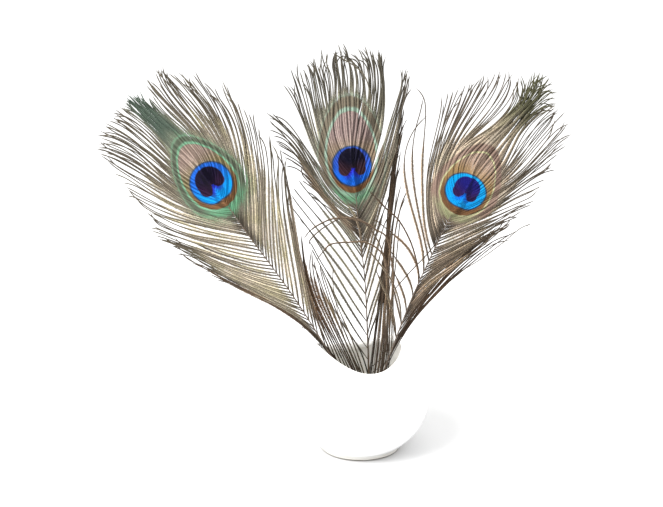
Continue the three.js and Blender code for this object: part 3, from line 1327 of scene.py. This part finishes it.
LEFT_FEATHER = Feather(
    name="left_feather",
    depth=-1.6,
    fan=-0.1,
    lean=0.03,
    line=(
        (13, 6.2), (-3, 34), (-18, 59), (-42, 98), (-68, 134), (-82, 154), (-97, 173), (-109, 189),
        (-127, 207), (-142, 219),
    ),
    shaft_points=7,
    eye=(-91.8, 167.4),
    tilt=-37.0,
    left=(
        (
            Barb(28, (-30, 72), (-44, 85), (-66, 95), 1, brown=1.0),
            Barb(33, (-31, 73), (-58, 91), (-100, 113), 1, brown=0.8),
            Barb(38, (-33, 76), (-60, 94), (-116, 121), 2, brown=0.8),
            Barb(46, (-35, 77), (-62, 96), (-93, 109), brown=1.0),
            Barb(54, (-38, 81), (-60, 94), (-84, 105), brown=0.8),
            Barb(66, (-38, 82), (-57, 94), (-86, 106), brown=0.4),
            Barb(75, (-44, 87), (-61, 96), (-92, 108)),
            Barb(82, (-52, 92), (-70, 101), (-99, 113)),
            Barb(88, (-58, 97), (-78, 106), (-110, 119), 2),
            Barb(94, (-64, 102), (-85, 111), (-118, 124), 2),
            Barb(100, (-70, 107), (-93, 117), (-120, 130), 2),
            Barb(106, (-75, 112), (-99, 121), (-126, 131), 2),
            Barb(112, (-79, 117), (-103, 125), (-129, 133), 2),
            Barb(119, (-83, 123), (-107, 130), (-130, 137), 2),
            Barb(126, (-87, 130), (-112, 135), (-133, 145)),
            Barb(131, (-91, 134), (-113, 139), (-136, 149)),
            Barb(135, (-94, 139), (-118, 144), (-145, 158), 2),
            Barb(139, (-98, 144), (-123, 152), (-146, 164), 3),
            Barb(143, (-100, 149), (-126, 161), (-160, 179), 3),
            Barb(147, (-106, 153), (-134, 171), (-161, 183), 4),
            Barb(150, (-111, 159), (-135, 176), (-163, 187), 4),
            Barb(153, (-114, 164), (-138, 183), (-162, 193), 5),
            Barb(157, (-115, 171), (-137, 189), (-159, 198), 5),
            Barb(161, (-116, 177), (-135, 193), (-152, 204), 4),
            Barb(164, (-116, 182), (-131, 197), (-151, 210), 4),
            Barb(166, (-115, 186), (-129, 200), (-144, 213), 6, green=0.8, ruffle=0.8),
            Barb(169, (-114, 189), (-127, 201), (-143, 216), 7, green=1.0, ruffle=0.8),
            Barb(173, (-110.5, 191), (-124, 203), (-141, 219), 0, green=1.0, ruffle=0.8),
        ),
    ),
    right=(
        (
            Barb(11, (0, 53), (-12, 84), (-20, 106), 1, brown=0.3, ruffle=0.5),
            Barb(14, (-3, 55), (-16, 84), (-27, 118), 1, brown=0.5, ruffle=0.5),
            Barb(18, (-6, 56), (-20, 86), (-29, 122), 1, brown=0.8, ruffle=0.5),
            Barb(23, (-9, 58), (-24, 88), (-32, 128), 1, brown=1.0, ruffle=0.5),
            Barb(30, (-13, 60), (-29, 94), (-36, 134), 0, brown=1.0, ruffle=0.5),
            Barb(42, (-19, 70), (-33, 102), (-40, 138), 1, brown=1.0, ruffle=0.5),
            Barb(56, (-27, 82), (-37, 112), (-43, 146), 1, brown=0.8, ruffle=0.5),
            Barb(73, (-33, 103), (-39, 129), (-49, 183), 0, brown=0.6),
            Barb(77, (-35, 107), (-40, 138), (-50, 187), 0, brown=0.3),
            Barb(82, (-37, 110), (-43, 143), (-47, 180), 0),
            Barb(87, (-39, 115), (-45, 148), (-46, 185), 1),
            Barb(97, (-46, 124), (-50, 157), (-49, 189)),
            Barb(106, (-50, 133), (-52, 163), (-54, 192)),
            Barb(112, (-54, 138), (-55, 168), (-56, 197)),
            Barb(118, (-58, 142), (-59, 168), (-66, 206)),
            Barb(123, (-61, 144), (-62, 175), (-70, 212)),
            Barb(127, (-63, 150), (-65, 177), (-73, 215), 2),
            Barb(131, (-66, 155), (-68, 183), (-81, 219), 2),
            Barb(134, (-69, 156), (-71, 190), (-86, 228), 2),
            Barb(138, (-71, 158), (-74, 190), (-91, 223), 3),
            Barb(141, (-74, 163), (-79, 194), (-97, 232), 3),
            Barb(145, (-76, 168), (-86, 203), (-109, 230), 3),
            Barb(148, (-78, 173), (-90, 207), (-112, 232), 3),
            Barb(151, (-80, 178), (-96, 210), (-116, 233), 3),
            Barb(154, (-84, 182), (-102, 209), (-123, 234), 3),
            Barb(158, (-88, 186), (-107, 211), (-122, 235), 3),
            Barb(161, (-93, 189), (-109, 208), (-126, 231), 4),
            Barb(164, (-98, 191), (-112, 207), (-131, 228), 4, green=0.2),
            Barb(167, (-103, 192), (-116, 204), (-129, 216), 6, green=0.8, ruffle=0.8),
            Barb(170, (-107, 192), (-120, 204), (-134, 218), 7, green=1.0, ruffle=0.8),
            Barb(173, (-110, 191), (-123.5, 203), (-139, 220), 0, green=1.0, ruffle=0.8),
        ),
    ),
    strays=(
        Stray(((2, 46), (-9, 69), (-14, 88), (-17, 105), (-17, 117)), width=0.5),
        Stray(((-18, 60), (-24, 67), (-32, 75), (-37, 78)), width=0.5),
    ),
    finish=EyeFinish("left_eye"),
    seed=11,
)

MIDDLE_FEATHER = Feather(
    name="middle_feather",
    depth=8.0,
    fan=0.0,
    lean=0.18,
    line=((7.6, 6), (6, 32), (5, 61), (3, 101), (-1, 134), (-3, 156), (-6, 179), (-7, 205), (-8, 243)),
    shaft_points=7,
    eye=(-5.2, 171.3),
    tilt=-3.0,
    left=(
        (
            Barb(34, (1, 54), (-6, 67), (-15, 80), 0, ruffle=0.5),
            Barb(51, (-3, 62), (-11, 74), (-19, 86), 0, ruffle=0.5),
            Barb(58, (-5, 72), (-16, 89), (-27, 110), 0, ruffle=0.5),
            Barb(66, (-5, 81), (-17, 98), (-28, 116), 0, ruffle=0.5),
            Barb(75, (-7, 91), (-19, 110), (-38, 138), 0, ruffle=0.5),
            Barb(83, (-8, 101), (-25, 123), (-48, 150), 0, ruffle=0.5),
            Barb(92, (-10, 111), (-25, 132), (-45, 157), 0, ruffle=0.5),
            Barb(100, (-10, 119), (-24, 139), (-44, 164), 0, ruffle=0.5),
            Barb(108, (-9, 124), (-21, 141), (-39, 161), 0, ruffle=0.5),
            Barb(115, (-7, 127), (-19, 141), (-33, 155)),
            Barb(121, (-7, 131), (-19, 144), (-31, 153)),
            Barb(127, (-13, 142), (-30, 160), (-42, 170), 3, brown=0.7, ruffle=1.3),
            Barb(131, (-20, 149), (-38, 172), (-52, 178), 2, brown=0.6),
            Barb(134, (-23, 153), (-42, 180), (-55, 189), 3, brown=0.5),
            Barb(138, (-25, 157), (-41, 183), (-61, 199), 2, brown=0.3),
            Barb(141, (-22.5, 158), (-40, 185), (-60, 201), 3),
            Barb(145.8, (-20.3, 161.9), (-38.5, 188), (-55, 204), 0),
        ),
        (
            Barb(146.2, (-19.4, 163), (-33, 190), (-47, 219), 4),
            Barb(150, (-20, 168), (-34, 199), (-43, 231), 3),
            Barb(153, (-21, 174), (-29, 201), (-37, 225), 3),
            Barb(157, (-21, 180), (-28, 209), (-33, 231), 4),
            Barb(161, (-21, 189), (-26, 216), (-31, 234), 4),
            Barb(165, (-20, 196), (-23, 219), (-29, 236), 4, curl=20),
            Barb(169, (-19, 201), (-20, 222), (-26, 238), 3, curl=60, ruffle=1.4),
            Barb(173, (-16, 204), (-16, 223), (-21, 239), 4, curl=60, ruffle=1.4),
            Barb(176, (-12, 207), (-13, 225), (-16, 241), 5, curl=20, ruffle=1.4),
            Barb(179, (-7.2, 209), (-8.6, 225), (-12, 242), 0, ruffle=1.4),
        ),
    ),
    right=(
        (
            Barb(9, (19, 52), (20.5, 92), (27, 150), 1, brown=0.5, ruffle=0.5),
            Barb(12, (17, 53), (18.5, 98), (25, 158), 1, brown=0.7, ruffle=0.5),
            Barb(16, (14.5, 55), (17, 106), (26, 192), 2, brown=0.9, ruffle=0.5),
            Barb(23, (12, 58), (16, 108), (28, 214), 2, brown=0.9, ruffle=0.5),
            Barb(32, (10, 64), (15.5, 108), (25, 176), 2, brown=0.9, ruffle=0.5),
            Barb(41, (9.5, 70), (14, 108), (22, 162), 0, brown=0.9, ruffle=0.5),
        ),
        (
            Barb(58, (8, 72), (12, 82), (15, 96), 0, brown=0.3, ruffle=0.5),
            Barb(66, (8, 80), (11, 90), (14, 103), 0, brown=0.3, ruffle=0.5),
            Barb(74, (7, 84), (11, 95), (14, 112), 0, brown=0.2, ruffle=0.5),
            Barb(85, (6, 94), (10, 108), (16, 128), 0, brown=0.2, ruffle=0.5),
            Barb(93, (6, 102), (10, 117), (17, 138), 0, brown=0.3, ruffle=0.5),
            Barb(101, (5, 110), (10, 127), (19, 152), 0, brown=0.4, ruffle=0.5),
            Barb(108, (5, 118), (11, 139), (24, 178), 0, brown=0.5, ruffle=0.6),
            Barb(115, (5, 125), (12, 148), (26, 190), 1, brown=0.6, ruffle=0.7),
            Barb(121, (5, 131), (13, 154), (27, 203), 2, brown=0.5, ruffle=0.8),
            Barb(127, (6, 137), (17, 164), (28, 214), 3, brown=0.3),
            Barb(131, (7, 143), (19, 174), (30, 219), 3),
            Barb(135, (7, 148), (20, 182), (31, 223), 3, brown=0.3),
            Barb(139, (8, 156), (19, 186), (30, 227), 4, brown=0.2),
            Barb(145.3, (8.2, 168), (18, 193), (27, 229), 0),
        ),
        (
            Barb(145.8, (6.4, 169), (13.5, 203), (12, 235), 5),
            Barb(149.5, (8, 178), (15, 212), (12, 236), 4),
            Barb(153, (10, 188), (15, 217), (11, 237), 4),
            Barb(156, (9, 193), (13, 219), (11, 239), 4),
            Barb(160, (7, 199), (9, 222), (5, 241), 4),
            Barb(164, (5, 203), (7, 222), (2, 242), 4, curl=-20),
            Barb(168, (2, 206), (3, 222), (-2, 241), 5, curl=-40, ruffle=1.4),
            Barb(172, (-2, 209), (-2, 223), (-7, 240), 5, curl=-60, ruffle=1.4),
            Barb(178, (-6.4, 210), (-7.6, 227), (-10, 243), 0, ruffle=1.4),
        ),
    ),
    strays=(
        Stray(((0, 176), (6, 206), (5, 220), (1, 228), (-5, 233), (-12, 237), (-17, 240)), 3.0),
        Stray(((1, 117), (0, 131), (-4, 142), (-10, 150), (-17, 158), (-28, 172)), 1.5, 1.3, brown=0.6),
        Stray(((7, 46), (17, 58), (20, 89), (21, 123), (25, 145), (29, 156)), fore=1.0, width=0.9, brown=0.8),
        Stray(((8, 43), (18, 52), (21, 70), (21, 95), (23, 118), (25, 139)), fore=1.0, width=0.7, brown=0.5),
    ),
    finish=EyeFinish(
        "middle_eye",
        shape=EyeShape(
            low=-16.6, high=33.2, half_width=15.1, egg=0.09, disc=12.0, disc_above=0.98, dent=0.0,
            heart=8.6, heart_above=1.05, heart_rise=2.0, left_lobe=(-4.4, -2.0, 4.1),
            right_lobe=(5.2, -2.5, 3.4),
        ),
        disc_high=srgb(40, 68, 158),
        disc_low=srgb(14, 84, 184),
        heart=srgb(8, 5, 26),
        heart_edge=srgb(48, 26, 34),
        bronze_high=srgb(126, 108, 104),
        bronze_mid=srgb(118, 102, 84),
        ring=srgb(130, 150, 134),
        ring_width=1.5,
        halo=srgb(92, 118, 96),
        band=srgb(98, 88, 74),
        band_width=4.0,
        outer_ring=0.3,
        halo_amount=0.6,
        tan=srgb(204, 196, 172),
        olive=srgb(184, 182, 158),
        grey=srgb(170, 166, 152),
    ),
    seed=23,
)

RIGHT_FEATHER = Feather(
    name="right_feather",
    depth=-7.6,
    fan=0.1,
    lean=0.03,
    line=(
        (0, 6), (9, 34), (18, 62), (32, 100), (48, 136), (55, 150), (66, 170), (75, 184), (90, 211),
        (103, 234),
    ),
    shaft_points=7,
    eye=(63.8, 165.1),
    tilt=28.0,
    left=(
        (
            Barb(13, (9.5, 53), (13, 88), (16, 124), 1, brown=0.6, ruffle=0.4),
            Barb(26, (14, 60), (17, 92), (20, 122), 0, brown=0.6, ruffle=0.4),
        ),
        (
            Barb(73, (20, 84), (17, 92), (16, 102), 0, brown=0.5),
            Barb(82, (23, 92), (20, 102), (17, 113), 0, brown=0.5),
            Barb(90, (27, 98), (24, 107), (16, 124), 0, brown=0.5),
            Barb(100, (31, 106), (27, 117), (14, 140), 0, brown=0.5),
            Barb(108, (31, 126), (22, 143), (6, 161), 0, brown=0.7),
        ),
        (
            Barb(115, (34, 143), (26, 179), (39, 208), 0, ruffle=0.5, brown=0.5),
            Barb(122, (36, 147), (31, 183), (39, 221), 0, ruffle=0.5, brown=0.5),
            Barb(126, (38, 150), (38, 188), (38, 227), 0, curl=-35, ruffle=0.5, brown=0.4),
        ),
        (
            Barb(130, (40, 153), (42, 186), (51, 222), 4),
            Barb(133, (42, 155), (45, 186), (57, 226), 3),
            Barb(137, (44, 159), (48, 188), (64, 228), 3),
            Barb(141, (45, 168), (54, 198), (70, 231), 3),
            Barb(145, (47, 178), (60, 207), (75, 234), 3),
            Barb(149, (51, 184), (67, 211), (80, 235), 3),
            Barb(152, (56, 188), (73, 211), (86, 236), 4),
            Barb(156, (61, 191), (83, 213), (93, 233), 4, brown=0.2),
            Barb(159, (64, 192), (86, 206), (97, 229), 7, green=0.8, ruffle=1.3, curl=-25),
            Barb(163, (68, 192), (89, 208), (101, 232), 7, green=1.0, ruffle=1.6),
            Barb(167, (72, 192), (91, 209), (105, 234), 7, green=1.0, ruffle=1.8, curl=20),
            Barb(171, (75.6, 192), (93.5, 209), (110, 233), 0, green=1.0, ruffle=1.8, curl=40),
        ),
    ),
    right=(
        (
            Barb(34, (31, 80), (58, 111), (74, 125), 2, brown=1.0),
            Barb(38, (33, 85), (56, 109), (101, 142), 2, brown=1.0, curl=15),
            Barb(44, (32, 85), (53, 110), (93, 143), 3, brown=1.0),
            Barb(65, (32, 88), (52, 112), (87, 141), 1, brown=1.0),
            Barb(73, (34, 91), (51, 113), (77, 134), 1, brown=0.8),
            Barb(81, (38, 99), (53, 115), (78, 132), 1, brown=0.5),
            Barb(88, (38, 101), (61, 119), (80, 134), 1, brown=0.5),
            Barb(94, (39, 104), (64, 122), (81, 137), 1, brown=0.5),
            Barb(99, (41, 109), (60, 122), (83, 139), 1, brown=0.5),
            Barb(105, (44, 114), (70, 130), (88, 141), 2, brown=0.4),
            Barb(114, (47, 119), (71, 131), (92, 142), 2, brown=0.4),
            Barb(120, (51, 125), (78, 138), (91, 144), 2, brown=0.3),
            Barb(126, (54, 130), (81, 142), (97, 149), 2, brown=0.2),
            Barb(130, (57, 134), (85, 146), (100, 153), 1),
            Barb(134, (60, 139), (89, 150), (102, 157), 1),
            Barb(138, (66, 144), (92, 154), (113, 162), 1),
            Barb(140, (72, 147), (92, 158), (113, 167), 1),
            Barb(142, (77, 151), (97, 164), (121, 175), 1),
            Barb(144, (80, 154), (100, 168), (118, 179), 2),
            Barb(147, (82, 157), (105, 174), (122, 187), 2),
            Barb(149, (83, 161), (109, 180), (128, 197), 3),
            Barb(152, (84, 165), (109, 185), (125, 204), 4),
            Barb(155, (85, 168), (106, 190), (123, 210), 4),
            Barb(158, (85, 173), (103, 198), (119, 213), 4),
            Barb(160, (84, 176), (98, 200), (116, 214), 3, green=0.4, ruffle=1.2),
            Barb(162, (83, 180), (98, 203), (118, 215), 6, green=0.9, ruffle=1.4, curl=20),
            Barb(165, (81, 186), (97, 206), (116, 223), 7, green=1.0, ruffle=1.6, curl=30),
            Barb(168, (78, 190), (95.5, 208), (113, 229), 7, green=1.0, ruffle=1.8, curl=30),
            Barb(171, (76.4, 191.5), (94, 209), (110, 232), 0, green=1.0, ruffle=1.8),
        ),
    ),
    strays=(
        Stray(((36, 111), (34, 122), (30, 135), (23, 148), (15, 156), (4, 168)), 2.0, 1.0, brown=0.9),
        Stray(
            (
                (11, 44), (17, 66), (18, 90), (20, 112), (18, 127), (17, 134), (14, 140), (9, 143),
                (2, 148), (-9, 151), (-17, 151), (-25, 148), (-31, 144), (-35, 139),
            ),
            4.0, 1.0, brown=0.7,
        ),
        Stray(
            (
                (10, 40), (15, 62), (15, 90), (16, 109), (15, 122), (12, 129), (6, 134), (0, 136),
                (-7, 136), (-13, 136), (-19, 135), (-23, 131), (-27, 126),
            ),
            4.0, 1.0, brown=0.7,
        ),
        Stray(
            (
                (12, 48), (16, 70), (16, 100), (14, 124), (9, 138), (0, 149), (-11, 151), (-20, 147),
                (-26, 143), (-31, 138), (-31, 135),
            ),
            3.0, 0.85, brown=0.5,
        ),
        Stray(((25, 82), (24, 95), (20, 108), (14, 118), (8, 126), (4, 131)), fore=2.0, width=1.1),
        Stray(((22, 72), (21, 84), (18, 96), (13, 108), (9, 118)), fore=1.5, width=1.1),
        Stray(((46, 133), (39, 125), (30, 116), (20, 105)), fore=3.0, width=0.7, brown=0.8),
        Stray(((60, 114), (72, 121), (86, 131), (97, 140), (104, 143)), fore=-1.0, width=0.5),
    ),
    finish=EyeFinish(
        "right_eye",
        shape=EyeShape(
            low=-15.6, high=24.8, half_width=15.3, egg=0.2, disc=12.8, disc_above=0.78, disc_below=0.9,
            dent=1.2, heart=8.2, heart_above=0.85, heart_rise=1.6, notch=-1.6, left_lobe=(-4.1, -1.9, 3.7),
            right_lobe=(4.6, -1.8, 3.5),
        ),
        ring=srgb(164, 164, 122),
        ring_width=0.7,
        band=srgb(116, 94, 84),
        band_width=4.0,
        outer_ring=0.0,
        halo=srgb(122, 114, 90),
        halo_reach=5.0,
        halo_amount=0.6,
        wedge=srgb(130, 146, 98),
        wedge_amount=0.4,
        disc_high=srgb(0, 132, 190),
        disc_low=srgb(0, 132, 198),
        heart=srgb(16, 14, 92),
        heart_edge=srgb(36, 16, 62),
        notch_blue=srgb(0, 84, 196),
        bronze_high=srgb(132, 112, 98),
        bronze_mid=srgb(124, 100, 66),
        bronze_low=srgb(92, 64, 40),
        tuft=srgb(96, 98, 68),
        tuft_start=0.4,
        tan=srgb(210, 190, 166),
        olive=srgb(186, 172, 146),
    ),
    seed=37,
    ribbon=Ribbon(thins=0.42, bare=0.62),
)


# ----------------------------------------------------------------------------------------------- studio


@dataclass
class Studio:
    """A pale ground, soft light and the camera. Lengths are in metres and angles in degrees.

    Attributes:
        ground: side of the square ground.
        room_light: strength of the light from all round.
        lamp_power, lamp_size: the round lamp's watts, and how far it is across.
        lamp_place, lamp_aim: where it hangs, and the point that it shines at.
        distance, above: how far the camera is from the vase, and how high it stands, seen from there.
        aside: how far right of the vase it stands.
        pitch: how far it looks down.
        focal, picture_width: its focal length and the picture's width, both in the picture's dots.
        sensor: the sensor's width in mm.
    """

    ground: float = 12.0
    room_light: float = 1.8
    lamp_power: float = 46.0
    lamp_size: float = 1.0
    lamp_place: tuple[float, float, float] = (-0.9, -0.6, 1.1)
    lamp_aim: tuple[float, float, float] = (0.0, 0.0, 0.1)
    distance: float = 1.127
    above: float = 23.8
    aside: float = -0.018
    pitch: float = 17.632
    focal: float = 1772.0
    picture_width: float = 663.0
    sensor: float = 36.0

    def build_ground(self) -> None:
        """Lays the ground."""
        shape = bmesh.new()
        bmesh.ops.create_grid(shape, x_segments=1, y_segments=1, size=self.ground / 2)
        mesh = bpy.data.meshes.new("ground")
        shape.to_mesh(mesh)
        shape.free()
        bare_object("ground", mesh, PaperFinish().material())

    def build_light(self) -> None:
        """A white room and one large soft lamp, high on the left."""
        world = bpy.data.worlds.new("room")
        bpy.context.scene.world = world
        world.use_nodes = True
        walls = world.node_tree.nodes["Background"].inputs
        walls["Color"].default_value = (1.0, 1.0, 1.0, 1.0)
        walls["Strength"].default_value = self.room_light
        lamp = bpy.data.lights.new("key", "AREA")
        lamp.shape = "DISK"
        lamp.size = self.lamp_size
        lamp.energy = self.lamp_power
        holder = bpy.data.objects.new("key", lamp)
        holder.location = self.lamp_place
        aim = Vector(self.lamp_aim) - holder.location
        holder.rotation_euler = aim.to_track_quat("-Z", "Y").to_euler()
        bpy.context.scene.collection.objects.link(holder)
        bpy.context.scene.view_settings.view_transform = "Standard"

    def build_camera(self) -> None:
        """Puts the camera in front, a little left and above."""
        data = bpy.data.cameras.new("camera")
        data.lens = self.focal * self.sensor / self.picture_width
        data.sensor_width = self.sensor
        camera = bpy.data.objects.new("camera", data)
        rise = math.radians(self.above)
        camera.location = (self.aside, -self.distance * math.cos(rise), self.distance * math.sin(rise))
        camera.rotation_euler = (math.radians(90.0 - self.pitch), 0.0, 0.0)
        bpy.context.scene.collection.objects.link(camera)
        bpy.context.scene.camera = camera


def main() -> None:
    """Builds the vase, the feathers and the studio."""
    logging.basicConfig(level=logging.INFO, format="%(message)s")
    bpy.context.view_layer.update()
    studio = Studio()
    studio.build_camera()
    studio.build_ground()
    studio.build_light()
    vase = Vase().build()
    log.info("%s: %d faces", vase.name, len(vase.data.polygons))
    quill = QuillFinish().material()
    for feather in (LEFT_FEATHER, MIDDLE_FEATHER, RIGHT_FEATHER):
        shaft = feather.build_shaft(quill)
        log.info("%s: %d faces", shaft.name, len(shaft.data.polygons))
        finish = feather.finish.material()
        for side in Side:
            barbs = feather.build_barbs(side, finish)
            log.info("%s: %d faces", barbs.name, len(barbs.data.polygons))


if __name__ == "__main__":
    main()
